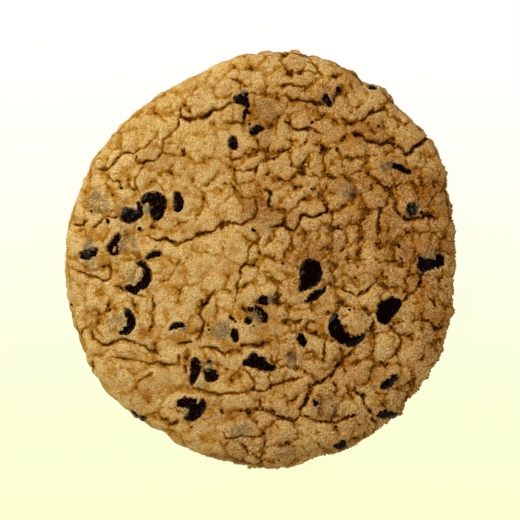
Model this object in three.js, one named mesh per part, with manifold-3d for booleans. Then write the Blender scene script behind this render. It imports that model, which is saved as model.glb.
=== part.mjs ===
// A chocolate chip cookie: a thick round of baked dough with a cracked, lumpy top, and the
// chocolate chips that show in it. Millimetres, +Z up, the underside on Z = 0.
import * as THREE from "three";
import { ImprovedNoise } from "three/addons/math/ImprovedNoise.js";
import { mergeVertices } from "three/addons/utils/BufferGeometryUtils.js";
import Module from "manifold-3d";

// Driving dimensions.
const CENTRE_HEIGHT = 12.6; // top of the dough in the middle
const SHOULDER_HEIGHT = 9.4; // top of the dough where it turns down into the side
const WIDEST_HEIGHT = 2.4; // where the side stands out furthest
const SIDE_SHARPNESS = 14; // the higher, the tighter the top rolls over into the side
const SIDE_FALL = 0.45; // power of the roll-over: 0.5 is a quarter of an ellipse
const FOOT_RINGS = [[0.5, 1.0], [2.1, 0]]; // [in from the widest line, height] down to the foot
const CAP_CELLS = 60; // cells along each side of the grid that the top is folded from

// Relief of the baked top.
const FISSURE_REACH = 1.0; // half width of a fissure where it has lost most of its depth
const SNAP_REACH = 0.8; // grid points this near to a fissure are moved onto its bed
const PLATE_SIZE = 5.6; // width of the plates that the crust breaks into
const PLATE_RELIEF = 0.9; // their height over the seams between them
const GRAIN_SIZE = 2.6; // width of the finer lumps
const GRAIN_RELIEF = 0.35; // their height
const SIDE_RELIEF = 0.3; // how far the side waves in and out

// Chips.
const CHIP_DEPTH = 2.2; // how far a chip goes down into the dough
const CHIP_BEVEL = 0.15; // how far its top and bottom edges are broken
const CHIP_FLOOR = 1.1; // no chip reaches lower than this
const CLEARANCE = 0.3; // gap between a chip and its pocket
const POCKET_HEADROOM = 5; // the pocket is cut up through the dough by this much

// The rim seen from above, counter-clockwise from the right: [x, y].
const RIM = [
  [48.6, 2], [48.3, 8], [47.1, 15.5], [45.2, 24.5], [43.2, 29.3], [40, 33], [35, 37.3],
  [32.3, 40.6], [29.9, 43.2], [25.2, 44], [24.2, 46.1], [20, 48.4], [14.5, 50.4], [8, 51.9],
  [1.5, 51.8], [-5, 50.8], [-12.3, 48.1], [-18.5, 44.8], [-26, 40.5], [-33.5, 34.3],
  [-40, 27.3], [-45, 17.5], [-48, 7], [-48.5, -2], [-47.3, -12.5], [-44.5, -21.5],
  [-39.5, -31.5], [-33, -37.7], [-24.5, -43], [-17.3, -47.5], [-9, -50.2], [0, -51.9],
  [7, -51.7], [14, -49.2], [20.5, -47.6], [25.5, -45], [30, -42], [31, -40.6], [34, -39.2],
  [36, -36.2], [41.5, -29.5], [44.8, -24.5], [46.6, -18], [48.2, -13], [48.2, -6],
];

// Broad swells and hollows of the top: [x, y, radius, height].
const SWELLS = [
  [23.5, 38, 4.5, 0.9], [-17.5, 37.5, 5, 0.5], [-34, 22, 3.5, 0.6], [-27.5, 26.5, 3.5, 0.5],
  [-33, 33, 5, 0.5], [-40, 15, 4.5, 0.5], [31.5, -20.5, 3.8, 0.9], [40, -20, 5, 0.6],
  [17.5, -35.5, 6, 0.6], [6, -35, 4.5, 0.5], [-3, -41, 6, 0.5], [22.8, -15, 3.5, 0.9],
  [16.5, -10.5, 4.5, -0.9], [-7, 7, 8, 0.3], [31, 7, 4, 0.6], [42, 1.5, 2.5, 0.7],
  [-31.5, -3.8, 3.2, 0.6], [-35.6, -15.2, 3, 0.8], [-9.3, -17.5, 3.3, 0.4],
  [-24, 22, 4, 0.4], [4, 44, 6, 0.4], [37, 17, 5, 0.4], [-41, -9, 5, 0.4],
  [-26, -37, 4, -0.5], [38, 10.5, 2, -0.9], [18, -30, 3, -0.5],
];

// Fissures of the top: [depth, [x, y] ...] along each one.
const FISSURES = [
  [1.5, [-28, 5.5], [-23.5, 5.2], [-21, 4], [-15, 6.2], [-8, 9.2], [-4.2, 9], [-0.8, 12.5]],
  [1.4, [0.9, 6.5], [-1.5, 3.5], [-2.9, 0], [-5.3, -4.2], [-5.5, -7], [-6.5, -11.5]],
  [1.4, [-11.3, -7.5], [-14.2, -11.5], [-14.2, -16], [-15.5, -20]],
  [1.4, [2.5, 8.3], [8, 7.3], [10.2, 11], [16.5, 11.5]],
  [1.8, [42, 30.5], [38, 27.3], [35, 27.8], [33.5, 29.2], [28, 29.3], [23.3, 31.5]],
  [1.0, [20.3, 34.9], [22.5, 33.9], [26.8, 35.6], [31.5, 37.5]],
  [1.3, [6.5, 41], [10.5, 39.5], [17.5, 38.5], [21, 44]],
  [1.0, [-7.4, 45.3], [-2.9, 43], [5, 43.2], [11, 43.3]],
  [1.5, [-20.3, 37], [-19.8, 35.3], [-15, 34.9], [-9.5, 37.8], [-6.5, 39]],
  [1.0, [-20.3, 33], [-23.8, 30], [-24.3, 26.8], [-19.5, 26]],
  [1.4, [-24.2, 26.6], [-27.5, 24.2], [-31, 25.6], [-34.3, 26.6], [-37.8, 22.8], [-40.5, 22.6]],
  [1.0, [-46.5, 9.3], [-42, 8.2], [-38.8, 10], [-35.5, 11]],
  [1.2, [-47, -2], [-43.5, -4.2], [-38.5, -5.4], [-37.5, 0]],
  [1.1, [-36.3, -6.5], [-31.5, -8.5], [-26.7, -9.5], [-26.5, -14.5], [-27.6, -18]],
  [1.1, [-42, -17.5], [-40, -21], [-36, -20], [-28, -22.2], [-24.3, -24]],
  [1.3, [-36.5, -24.3], [-27, -26.2], [-21, -26.4], [-17.5, -31.5], [-12, -33.3], [-4, -33.2]],
  [1.1, [-4, -33.2], [-1.3, -30.7], [-3.8, -27]],
  [1.1, [-20, -21], [-11.5, -22], [-8.5, -24], [-4.3, -21.4], [1.5, -21]],
  [1.3, [-9.5, -38.4], [-4.5, -37.3], [1, -37.3], [6.5, -39.8], [10.3, -38.8]],
  [1.0, [-1.7, -32.4], [2.7, -31.6], [10.5, -29.2]],
  [1.7, [23.5, -22.3], [18, -28.8], [12.5, -31.5], [12.4, -34.2], [10.2, -37], [10.3, -39]],
  [1.3, [10.3, -39], [15, -40.5], [21, -40], [24, -38.2]],
  [1.6, [23.5, -32.5], [25.8, -34.5], [26.3, -36.5], [28, -38.6], [28.8, -41.5]],
  [1.2, [38, -15], [42, -15.5], [44, -17.1], [46.5, -16.8]],
  [1.1, [35.6, -10.6], [38.7, -8], [40.2, -5], [39.8, -3.4]],
  [1.0, [32.2, -16.5], [35, -20], [34, -23.3], [31, -25]],
  [1.2, [21.2, 8], [20.5, 2.5], [17.8, -3]],
  [1.2, [27.5, 20.8], [32.8, 16.3], [35.5, 10.5], [40, 11.2], [44.5, 10.3]],
  [1.0, [29.5, 13], [29.5, 7], [29.9, 4]],
  [1.0, [7.5, 27.9], [1, 25], [-1.3, 21.3]],
  [1.0, [6.3, 34.2], [11, 32.1], [15, 31.5]],
  [1.1, [-23, -42], [-20.5, -40]],
];

// Chips: [name, height of its top over the dough around, outline seen from above].
const CHIPS = [
  ["hooked", 0.6, [[-29.4, 14], [-28.9, 15.9], [-26.2, 16.7], [-23.9, 15.8], [-23.5, 13.8],
    [-24, 11.8], [-25, 9.8], [-26.6, 10], [-27.2, 12.4], [-27.9, 14]]],
  ["lobed", 0.4, [[-34.8, 11], [-33.9, 12.6], [-32.3, 12.6], [-31, 11.9], [-29.7, 12.7],
    [-28.9, 11.5], [-30.1, 10.3], [-31.9, 9.2], [-33.8, 9.3]]],
  ["lens", 0.3, [[-21.1, 16.8], [-20.1, 16.6], [-19.1, 14.4], [-19.4, 12.8], [-20.3, 11.9],
    [-21.2, 12.1], [-21.3, 14.6]]],
  ["ragged", 0.2, [[-35.8, 6.1], [-35, 6.4], [-34.9, 4.8], [-36, 3.6], [-35.2, 2.2],
    [-35.3, 1.4], [-37, 1.1], [-38.1, 2.6], [-37.2, 4], [-36.4, 5.2]]],
  ["far_left", 0.2, [[-44.8, 1.2], [-43.9, 2.1], [-42, 2.4], [-40.4, 2.9], [-40.7, 1.2],
    [-42.4, 0.2], [-44.2, 0.3]]],
  ["sliver_left", 0.1, [[-28.2, 0.1], [-27.9, 1], [-26.6, 1.8], [-24.9, 2], [-24.6, 1.4],
    [-26.2, 0.9], [-27.5, 0.4]]],
  ["crescent_left", 0.4, [[-30.9, -0.6], [-29.3, -0.5], [-27.8, -2], [-27, -4.2], [-27.7, -6.3],
    [-29.6, -7.5], [-31.6, -8.7], [-32, -7.9], [-33.9, -6.9], [-32.6, -6.4], [-30.6, -5.8],
    [-29.1, -4.3], [-28.5, -2.7], [-29.6, -1.4]]],
  ["crescent_low", 0.5, [[-33.5, -12.2], [-32.2, -13.1], [-31.1, -15], [-31.3, -16.6],
    [-32.6, -18.4], [-35.1, -18.5], [-33.9, -17.1], [-33, -15.4], [-33.2, -13.6]]],
  ["sliver_low", 0.2, [[-22.8, -17.5], [-21.5, -16.2], [-20.3, -15.6], [-18.5, -16.3],
    [-20.2, -16.8], [-21.6, -17.1]]],
  ["edge_on", 0.2, [[-6.7, -17], [-5.9, -17.8], [-5.4, -19], [-5.8, -20.6], [-6.5, -20.2],
    [-7, -18.6]]],
  ["half_sunk", 0.2, [[-1.2, -11.6], [-0.1, -11.9], [0.6, -13], [1.5, -13.2], [2, -14.4],
    [1, -15.9], [0.3, -14.6], [-0.5, -13.8], [-1.2, -12.8]]],
  ["dot", 0.2, [[-3.7, -15.2], [-3.3, -14.4], [-2.3, -14.5], [-2.1, -15.6], [-2.9, -16.1]]],
  ["square", 0.3, [[-0.3, -9.8], [1, -9.2], [1.9, -9.5], [2, -11], [0.8, -11.3], [-0.3, -10.7]]],
  ["tall", 0.6, [[11.3, -0.3], [13.6, 0], [15.1, -1.8], [15.2, -4.2], [14, -6.3], [11.8, -7.4],
    [9.5, -7.6], [10.4, -6], [10.1, -3.4], [10.6, -1.6]]],
  ["blade", 0.4, [[11, -10.8], [12.2, -9.4], [13.8, -8.2], [15.6, -7.1], [16.3, -6.3],
    [16.1, -7.7], [14.9, -9], [13.2, -10.2]]],
  ["crescent_right", 0.5, [[19.4, -13.2], [17.9, -14.4], [17, -16.5], [17.6, -18.4],
    [19.1, -20.1], [21.4, -21.2], [23.2, -21.5], [25.2, -20.2], [26.2, -18.3], [24.2, -18.4],
    [22.9, -19.7], [21.1, -18.4], [19.9, -16.4], [19.4, -14.8]]],
  ["slab", 0.3, [[29.7, -10.8], [31.1, -10.3], [32.6, -9.4], [35.4, -10.4], [34.3, -12.6],
    [32.1, -15.3], [30.7, -16.2], [28.9, -14.6], [29.3, -12.6]]],
  ["far_right", 0.3, [[39.4, 1.2], [40.2, 0], [42.3, 0.1], [44.9, 1.4], [45.9, 0.3],
    [45.6, -1.5], [42.8, -2.3], [40.2, -3.1], [39.3, -2.2], [39.7, -0.6]]],
  ["ridge", 0.3, [[31.9, 23.9], [33.6, 23.9], [35.5, 23.2], [36.5, 22.2], [37.5, 22.3],
    [37.1, 21.3], [35.8, 21.8], [34.2, 22.5], [32.6, 23.1]]],
  ["dusty", 0.6, [[36.7, 13.4], [37.6, 14.1], [38.8, 13.6], [39, 12.2], [38.2, 11.3],
    [36.8, 11.4]]],
  ["upper", 0.2, [[-6.6, 39.3], [-5.9, 40.8], [-4.5, 41.1], [-3.3, 41.6], [-3.3, 40.6],
    [-2.8, 39], [-3, 37.7], [-3.7, 38.4], [-5, 38.8]]],
  ["bean", 0.3, [[-7.7, 29.6], [-7, 30.6], [-6.2, 30.3], [-5.5, 28.6], [-5.9, 27.4],
    [-6.9, 27.5], [-7.7, 28.5]]],
  ["wedge", 0.2, [[-2.6, 31.9], [-1.6, 32.7], [-0.2, 33.6], [1.4, 32.4], [0.2, 32.2],
    [-0.9, 31.2], [-1.9, 31]]],
  ["high_right", 0.2, [[15.6, 40.2], [16.4, 41.3], [16.8, 40.2], [18, 39], [17.2, 38.4],
    [16, 39.3]]],
  ["post", 0.3, [[-16.1, -24.1], [-15.1, -25.6], [-14.9, -28], [-16, -29.8], [-16.8, -31.3],
    [-17.5, -29.4], [-16.9, -28], [-17.2, -26]]],
  ["block", 0.3, [[-14.3, -27.7], [-12.6, -27.3], [-10.8, -27.8], [-10.5, -29.2], [-11, -30],
    [-13.6, -30], [-13.5, -28.4]]],
  ["wing", 0.3, [[-4.2, -25.7], [-2.8, -24.3], [-1.4, -23.1], [-0.6, -24.4], [0.9, -24.4],
    [1.9, -25.9], [4.1, -26.9], [3.1, -27.6], [1.1, -27.7], [-0.8, -26.7], [-2.4, -26.6],
    [-3.6, -26.1]]],
  ["broad", 0.4, [[-20.8, -36.6], [-20.3, -35.2], [-18.4, -34.3], [-16.2, -35.1],
    [-14.4, -34.7], [-13.4, -36], [-14.3, -37.9], [-15.8, -39.8], [-17.5, -40.1],
    [-18.8, -39.7], [-17.2, -38.1], [-18.4, -36.7], [-19.8, -36.3]]],
  ["short", 0.2, [[9.1, -19.7], [10.2, -18.1], [10.9, -19.1], [11.5, -20.6], [11.3, -21.4],
    [10.2, -21]]],
  ["seed", 0.3, [[30, -32.1], [30.6, -30.8], [32.2, -29.6], [33.2, -28.5], [34, -28.8],
    [33.9, -29.9], [32.6, -31.4], [31.1, -32.2]]],
  ["crumb", 0.2, [[13.2, -35.1], [13.9, -34.9], [14.5, -35.8], [13.9, -36.3], [13.3, -35.8]]],
  ["rim_top", 0.4, [[26.9, 43], [27.6, 43.3], [28.6, 43.2], [29, 42.7], [27.9, 42.5]]],
  ["rim_front", 0.4, [[18.3, -46.6], [19.2, -45.9], [20.2, -45.7], [20.7, -44.9], [21.5, -46.2],
    [21.1, -47.1], [20.3, -47.3], [19.3, -47]]],
  ["rim_right", 0.4, [[28.8, -38.5], [31.5, -37.7], [33.2, -38.3], [34.3, -38.2], [33.9, -38.9],
    [32.9, -39.3], [32, -39], [31, -39.5], [29.9, -39.2]]],
  ["rim_left", 0.4, [[-31.7, -37.8], [-31.1, -37.9], [-30.5, -38.8], [-30.7, -39.2],
    [-31.3, -38.7]]],
  ["rim_left_low", 0.4, [[-29.8, -39], [-29.1, -39.1], [-28.7, -39.6], [-29, -40], [-29.6, -39.7]]],
];

const TAU = 2 * Math.PI;
const noise = new ImprovedNoise();
const wasm = await Module();
wasm.setup();

// Radius of the rim in a direction, between the two rim points on either side of it.
const rimTurns = RIM.map(([x, y]) => (Math.atan2(y, x) + TAU) % TAU);
function rimRadius(angle) {
  const turn = ((angle % TAU) + TAU) % TAU;
  const after = rimTurns.findIndex((start) => start > turn);
  const next = after < 0 ? 0 : after;
  const last = (next + RIM.length - 1) % RIM.length;
  const span = (rimTurns[next] - rimTurns[last] + TAU) % TAU;
  const share = ((turn - rimTurns[last] + TAU) % TAU) / span;
  return THREE.MathUtils.lerp(Math.hypot(...RIM[last]), Math.hypot(...RIM[next]), share);
}

// How much of the dough's height is left at a share of the way out to the rim.
function rollOver(share) {
  return Math.pow(Math.max(0, 1 - Math.pow(share, SIDE_SHARPNESS)), SIDE_FALL);
}

// Height of the top before it cracked.
function smoothHeight(x, y) {
  const share = Math.min(1, Math.hypot(x, y) / rimRadius(Math.atan2(y, x)));
  let height = THREE.MathUtils.lerp(CENTRE_HEIGHT, SHOULDER_HEIGHT, share * share);
  for (const [swellX, swellY, radius, rise] of SWELLS) {
    const away = Math.hypot(x - swellX, y - swellY) / radius;
    height += rise * Math.exp(-away * away);
  }
  return WIDEST_HEIGHT + (height - WIDEST_HEIGHT) * rollOver(share);
}

// The nearest point of any fissure, its distance, and the fissure's depth.
function nearestFissure(x, y) {
  const here = new THREE.Vector3(x, y, 0);
  const nearest = { distance: Infinity };
  for (const [depth, ...points] of FISSURES) {
    for (let i = 1; i < points.length; i++) {
      const stretch = new THREE.Line3(
        new THREE.Vector3(...points[i - 1], 0),
        new THREE.Vector3(...points[i], 0),
      );
      const point = stretch.closestPointToPoint(here, true, new THREE.Vector3());
      const distance = point.distanceTo(here);
      if (distance < nearest.distance) Object.assign(nearest, { distance, depth, point });
    }
  }
  return nearest;
}

// Lumps with sharp seams between them, from 0 in a seam to 1 on a lump.
function lumps(x, y, size) {
  const value = noise.noise(x / size, y / size, size);
  return Math.min(1, 3 * Math.abs(value));
}

// Height of the baked top, with its fissures, plates and grain.
function bakedHeight(x, y) {
  const share = Math.min(1, Math.hypot(x, y) / rimRadius(Math.atan2(y, x)));
  const { distance, depth } = nearestFissure(x, y);
  const fissure = depth * Math.exp(-((distance / FISSURE_REACH) ** 2));
  const plates = PLATE_RELIEF * (lumps(x, y, PLATE_SIZE) - 1);
  const grain = GRAIN_RELIEF * (lumps(x, y, GRAIN_SIZE) - 1);
  return smoothHeight(x, y) + (plates + grain - fissure) * rollOver(share);
}

// Shares of the way out to the rim at equal steps along the section of the top.
function evenShares(steps) {
  const samples = 2000;
  const lengths = [0];
  const meanRadius = RIM.reduce((sum, point) => sum + Math.hypot(...point), 0) / RIM.length;
  const height = (share) => (SHOULDER_HEIGHT - WIDEST_HEIGHT) * rollOver(share);
  for (let i = 1; i <= samples; i++) {
    const drop = height(i / samples) - height((i - 1) / samples);
    lengths.push(lengths[i - 1] + Math.hypot(meanRadius / samples, drop));
  }
  const shares = [];
  for (let step = 0; step <= steps; step++) {
    const wanted = (lengths[samples] * step) / steps;
    shares.push(lengths.findIndex((length) => length >= wanted - 1e-9) / samples);
  }
  return shares;
}

// The top: a square grid folded onto the round cookie, ring by ring.
function topGrid() {
  const grid = new THREE.PlaneGeometry(2, 2, CAP_CELLS, CAP_CELLS);
  const position = grid.getAttribute("position");
  const shares = evenShares(CAP_CELLS / 2);
  for (let i = 0; i < position.count; i++) {
    const u = position.getX(i);
    const v = position.getY(i);
    const ring = Math.max(Math.abs(u), Math.abs(v));
    const share = shares[Math.round((ring * CAP_CELLS) / 2)];
    let angle = 0;
    if (ring > 0) angle = Math.abs(u) >= Math.abs(v) ? (v / u) * (Math.PI / 4) : 0;
    if (Math.abs(v) > Math.abs(u)) angle = Math.PI / 2 - (u / v) * (Math.PI / 4);
    if (Math.abs(u) >= Math.abs(v) ? u < 0 : v < 0) angle += Math.PI;
    const wave = SIDE_RELIEF * noise.noise(6 * Math.cos(angle), 6 * Math.sin(angle), 0.5);
    const radius = share * (rimRadius(angle) + wave);
    position.setXYZ(i, radius * Math.cos(angle), radius * Math.sin(angle), 0);
  }
  return grid;
}

// Twice the area of each triangle seen from above, positive where it faces up.
function planAreas(position, index) {
  const areas = [];
  for (let i = 0; i < index.count; i += 3) {
    const [a, b, c] = [0, 1, 2].map((k) => index.getX(i + k));
    const ux = position.getX(b) - position.getX(a);
    const uy = position.getY(b) - position.getY(a);
    const wx = position.getX(c) - position.getX(a);
    const wy = position.getY(c) - position.getY(a);
    areas.push(ux * wy - uy * wx);
  }
  return areas;
}

// Moves grid points near a fissure onto its bed, except where that would fold the grid.
function snapToFissures(grid) {
  const position = grid.getAttribute("position");
  const index = grid.getIndex();
  const before = position.clone();
  for (let i = 0; i < position.count; i++) {
    const { distance, point } = nearestFissure(before.getX(i), before.getY(i));
    if (distance < SNAP_REACH) position.setXY(i, point.x, point.y);
  }
  const least = planAreas(before, index).map((area) => 0.15 * area);
  let folded = true;
  while (folded) {
    folded = false;
    planAreas(position, index).forEach((area, face) => {
      if (area >= least[face]) return;
      for (let k = 0; k < 3; k++) {
        const i = index.getX(3 * face + k);
        if (position.getX(i) !== before.getX(i) || position.getY(i) !== before.getY(i)) {
          position.setXY(i, before.getX(i), before.getY(i));
          folded = true;
        }
      }
    });
  }
}

// Grid points along the rim, counter-clockwise seen from above.
function rimLoop() {
  const loop = [];
  const corner = (column, row) => column + (CAP_CELLS + 1) * row;
  for (let i = 0; i < CAP_CELLS; i++) loop.push(corner(i, CAP_CELLS));
  for (let i = CAP_CELLS; i > 0; i--) loop.push(corner(CAP_CELLS, i));
  for (let i = CAP_CELLS; i > 0; i--) loop.push(corner(i, 0));
  for (let i = 0; i < CAP_CELLS; i++) loop.push(corner(0, i));
  return loop;
}

// The whole round of dough: baked top, rounded side and flat underside.
function doughGeometry() {
  const grid = topGrid();
  snapToFissures(grid);
  const position = grid.getAttribute("position");
  const points = [];
  for (let i = 0; i < position.count; i++) {
    const x = position.getX(i);
    const y = position.getY(i);
    points.push(x, y, bakedHeight(x, y));
  }
  const faces = Array.from(grid.getIndex().array);
  let upper = rimLoop();
  upper.forEach((i) => (points[3 * i + 2] = WIDEST_HEIGHT));
  for (const [inset, height] of FOOT_RINGS) {
    const first = points.length / 3;
    const lower = upper.map((_, k) => first + k);
    for (const i of rimLoop()) {
      const [x, y] = [points[3 * i], points[3 * i + 1]];
      const shrink = 1 - inset / Math.hypot(x, y);
      points.push(x * shrink, y * shrink, height);
    }
    for (let k = 0; k < upper.length; k++) {
      const next = (k + 1) % upper.length;
      faces.push(lower[k], lower[next], upper[next], lower[k], upper[next], upper[k]);
    }
    upper = lower;
  }
  const middle = points.length / 3;
  points.push(0, 0, 0);
  upper.forEach((i, k) => faces.push(middle, upper[(k + 1) % upper.length], i));
  const dough = new THREE.BufferGeometry();
  dough.setAttribute("position", new THREE.Float32BufferAttribute(points, 3));
  dough.setIndex(faces);
  return dough;
}

// A chip, or with grow and headroom its pocket, laid along the smooth top of the dough.
function chipGeometry(rise, outline, grow = 0, headroom = 0) {
  const shape = new THREE.Shape(outline.map(([x, y]) => new THREE.Vector2(x, y)));
  const solid = new THREE.ExtrudeGeometry(shape, {
    depth: CHIP_DEPTH + grow + headroom - 2 * CHIP_BEVEL,
    bevelThickness: CHIP_BEVEL,
    bevelSize: CHIP_BEVEL,
    bevelOffset: grow - CHIP_BEVEL,
    bevelSegments: 1,
  });
  solid.deleteAttribute("normal");
  solid.deleteAttribute("uv");
  const chip = mergeVertices(solid);
  const position = chip.getAttribute("position");
  const bottom = CHIP_BEVEL + CHIP_DEPTH + grow;
  for (let i = 0; i < position.count; i++) {
    const top = smoothHeight(position.getX(i), position.getY(i)) + rise;
    const height = top - bottom + CHIP_BEVEL + (position.getZ(i) + CHIP_BEVEL);
    const floor = CHIP_FLOOR - grow + (position.getZ(i) + CHIP_BEVEL);
    position.setZ(i, Math.max(height, floor));
  }
  return chip;
}

// A three.js geometry as a solid that can be cut, and back.
function solidOf(geometry) {
  const vertProperties = Float32Array.from(geometry.getAttribute("position").array);
  const triVerts = Uint32Array.from(geometry.getIndex().array);
  return new wasm.Manifold(new wasm.Mesh({ numProp: 3, vertProperties, triVerts }));
}

function geometryOf(solid) {
  const mesh = solid.getMesh();
  const geometry = new THREE.BufferGeometry();
  geometry.setAttribute("position", new THREE.BufferAttribute(mesh.vertProperties, 3));
  geometry.setIndex(new THREE.BufferAttribute(mesh.triVerts, 1));
  geometry.computeVertexNormals();
  return geometry;
}

// The dough with a pocket for every chip.
function pocketedDough() {
  let dough = solidOf(doughGeometry());
  for (const [, rise, outline] of CHIPS) {
    dough = dough.subtract(solidOf(chipGeometry(rise, outline, CLEARANCE, POCKET_HEADROOM)));
  }
  const pieces = dough.decompose().sort((a, b) => b.volume() - a.volume());
  return geometryOf(pieces[0]);
}

function named(name, geometry, material) {
  const mesh = new THREE.Mesh(geometry, material);
  mesh.name = name;
  return mesh;
}

const bakedDough = new THREE.MeshStandardMaterial({ color: 0xb98a4c, roughness: 0.85 });
const cookie = new THREE.Group();
cookie.add(named("dough", pocketedDough(), bakedDough));
for (const [name, rise, outline] of CHIPS) {
  const chocolate = new THREE.MeshStandardMaterial({ color: 0x1c0f0a, roughness: 0.45 });
  cookie.add(named(`chip_${name}`, chipGeometry(rise, outline), chocolate));
}

export default cookie;
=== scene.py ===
"""A chocolate chip cookie: its looks, built round its solids.

Shapes are worked out in millimetres and scaled to metres at the end. The dough is one
closed skin: a fine grid folded over the top and side, and a coarser one under it. Its
relief is stored at each point for the material to read.
"""

import bpy
import numpy as np
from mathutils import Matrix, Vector
from mathutils.geometry import delaunay_2d_cdt


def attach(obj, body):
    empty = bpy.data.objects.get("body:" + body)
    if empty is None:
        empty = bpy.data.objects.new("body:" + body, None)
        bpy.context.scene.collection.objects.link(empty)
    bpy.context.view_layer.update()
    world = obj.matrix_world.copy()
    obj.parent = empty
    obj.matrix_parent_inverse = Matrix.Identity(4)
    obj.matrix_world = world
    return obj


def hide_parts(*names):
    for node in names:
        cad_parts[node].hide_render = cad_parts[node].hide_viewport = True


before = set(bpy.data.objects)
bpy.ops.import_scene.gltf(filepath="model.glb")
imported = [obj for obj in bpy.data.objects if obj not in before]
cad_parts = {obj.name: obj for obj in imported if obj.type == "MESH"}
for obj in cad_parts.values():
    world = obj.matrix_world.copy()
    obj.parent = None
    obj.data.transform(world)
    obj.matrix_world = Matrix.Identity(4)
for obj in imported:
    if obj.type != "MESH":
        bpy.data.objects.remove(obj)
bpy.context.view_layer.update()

MM = 0.001
TAU = 2 * np.pi
FAR = 1e9

# The dough's section, as in its solid.
CENTRE_HEIGHT = 12.6
SHOULDER_HEIGHT = 9.4
WIDEST_HEIGHT = 2.4
SIDE_SHARPNESS = 14
SIDE_FALL = 0.45
FOOT_INSET = 2.1
SECTION_STEPS = 4000

# Grids of the dough's skin.
TOP_CELLS = 288
TOP_POINTS = (TOP_CELLS + 1) ** 2
UNDER_CELLS = 72
FOOT_RINGS = 6
FOOT_STEP = 0.55
UNDER_INSET = 2.9

# Chips: their depth, how far they spread past their solids' outlines, and their crowns.
CHIP_DEPTH = 2.2
CHIP_FLOOR = 1.1
CHIP_SPACING = 0.32
CHIP_MARGIN = 3
CHIP_GROWTH = 0.35
BARED_GROWTH = 0.28
CHIP_RIM_DROP = 0.35
CHIP_SINK = 0.3
CROWN_REACH = 0.7
BARE_DROP = 1.1

# The crust's relief: sizes of its plates, and depths.
LARGE_PLATE = 6.4
SMALL_PLATE = 3.7
TINY_PLATE = 1.5
FISSURE_DEPTH = 0.6
SLUMP_DEPTH = 0.26
SLUMP_REACH = 1.3
CRACK_REACH = 0.55
NO_FISSURE = 9.0
CHIP_LIP = 0.16

# Hollows, close by and further out: rounds of blurring added each time, weight.
HOLLOW_SCALES = [(3, 0.2), (9, 1.3), (50, 1.1)]

# Grains baked onto the crust, and what the chocolate's material reads on the flecks in it.
CRUMB_COUNT = 9000
CRUMB_SIZE = 0.16
FLECK_PAINT = (0, 0.3, 0.5, 0)

# Noise: after how many steps it repeats, and how far its grid is moved off the centre.
NOISE_TABLE = 256
NOISE_SHIFT = (97.3, 61.7)
CELL_TABLE = 128
NEIGHBOURS = [(i, j) for i in range(-2, 3) for j in range(-2, 3)]

# Studio, in metres.
FRAME_WIDTH = 0.130
SENSOR_WIDTH = 36
CAMERA_HEIGHT = 1.5
CAMERA_Y = -0.000125
FLOOR_SIZE = 3
FLOOR_HEIGHT = -0.0001
FLOOR_FAR = (1, 1, 1)
FLOOR_NEAR = (0.96, 1, 0.63)
FADE_REACH = 0.07
WORLD_LIGHT = 0.14

# Soft lights: name, place, size, power, colour.
LIGHTS = [
    ("key", (-0.42, 0.31, 0.46), 0.42, 6.6, (1, 0.99, 0.95)),
    ("fill", (0.5, -0.58, 0.46), 0.7, 5, (1, 0.97, 0.93)),
    ("rim", (0.35, 0.55, 0.32), 0.5, 1.4, (1, 1, 1)),
]

# Broad swells and hollows of the top: x, y, radius, height.
SWELLS = [
    (23.5, 38, 4.5, 0.9), (-17.5, 37.5, 5, 0.5), (-34, 22, 3.5, 0.6), (-27.5, 26.5, 3.5, 0.5),
    (-33, 33, 5, 0.5), (-40, 15, 4.5, 0.5), (31.5, -20.5, 3.8, 0.9), (40, -20, 5, 0.6),
    (17.5, -35.5, 6, 0.6), (6, -35, 4.5, 0.5), (-3, -41, 6, 0.5), (22.8, -15, 3.5, 0.9),
    (16.5, -10.5, 4.5, -0.9), (-7, 7, 8, 0.3), (31, 7, 4, 0.6), (42, 1.5, 2.5, 0.7),
    (-31.5, -3.8, 3.2, 0.6), (-35.6, -15.2, 3, 0.8), (-9.3, -17.5, 3.3, 0.4),
    (-24, 22, 4, 0.4), (4, 44, 6, 0.4), (37, 17, 5, 0.4), (-41, -9, 5, 0.4),
    (-26, -37, 4, -0.5), (38, 10.5, 2, -0.9), (18, -30, 3, -0.5),
]

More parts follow.
